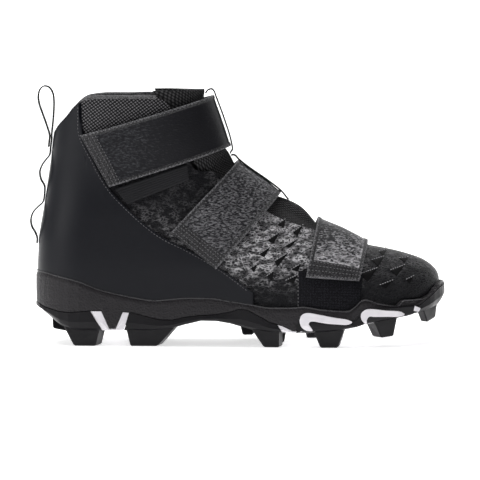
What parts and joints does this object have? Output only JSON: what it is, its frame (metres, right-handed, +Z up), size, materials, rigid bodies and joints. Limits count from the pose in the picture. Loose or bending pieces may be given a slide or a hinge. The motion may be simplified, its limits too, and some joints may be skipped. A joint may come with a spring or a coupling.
{
  "type": "american football cleat",
  "caption": "High-top right football cleat with three hook-and-loop straps, wraparound sole cup and moulded studs.",
  "frame": {"origin": "on the ground, under the middle of the bounding box", "axes": "+X from heel to toe, +Y to the inner side of the right foot, +Z up"},
  "size_m": [0.3044, 0.1002, 0.1884],
  "materials": {
    "textured_skin": "wrinkled satin",
    "smooth_skin": "smooth satin",
    "knit_mesh": "matte",
    "strap_skin": "satin",
    "webbing": "matte",
    "cup_rubber": "matte",
    "stud_rubber": "satin",
    "white_plate": "satin",
    "insole_fabric": "matte"
  },
  "bodies": {
    "root": {"upper": "textured_skin", "heel_quarter": "smooth_skin", "tongue": "knit_mesh", "insole": "insole_fabric", "midsole": "cup_rubber", "outsole_heel": "stud_rubber", "outsole_arch": "stud_rubber", "outsole_toe": "stud_rubber", "plate_heel": "white_plate", "plate_forefoot": "white_plate", "stud_ball_outer": "stud_rubber", "stud_ball_inner": "stud_rubber", "stud_fore_outer": "stud_rubber", "stud_fore_inner": "stud_rubber", "strap_ankle": "strap_skin", "strap_instep": "strap_skin", "strap_forefoot": "strap_skin", "elastic_band": "webbing", "heel_webbing": "webbing", "keeper_ankle": "webbing", "keeper_instep": "webbing"}
  },
  "joints": []
}
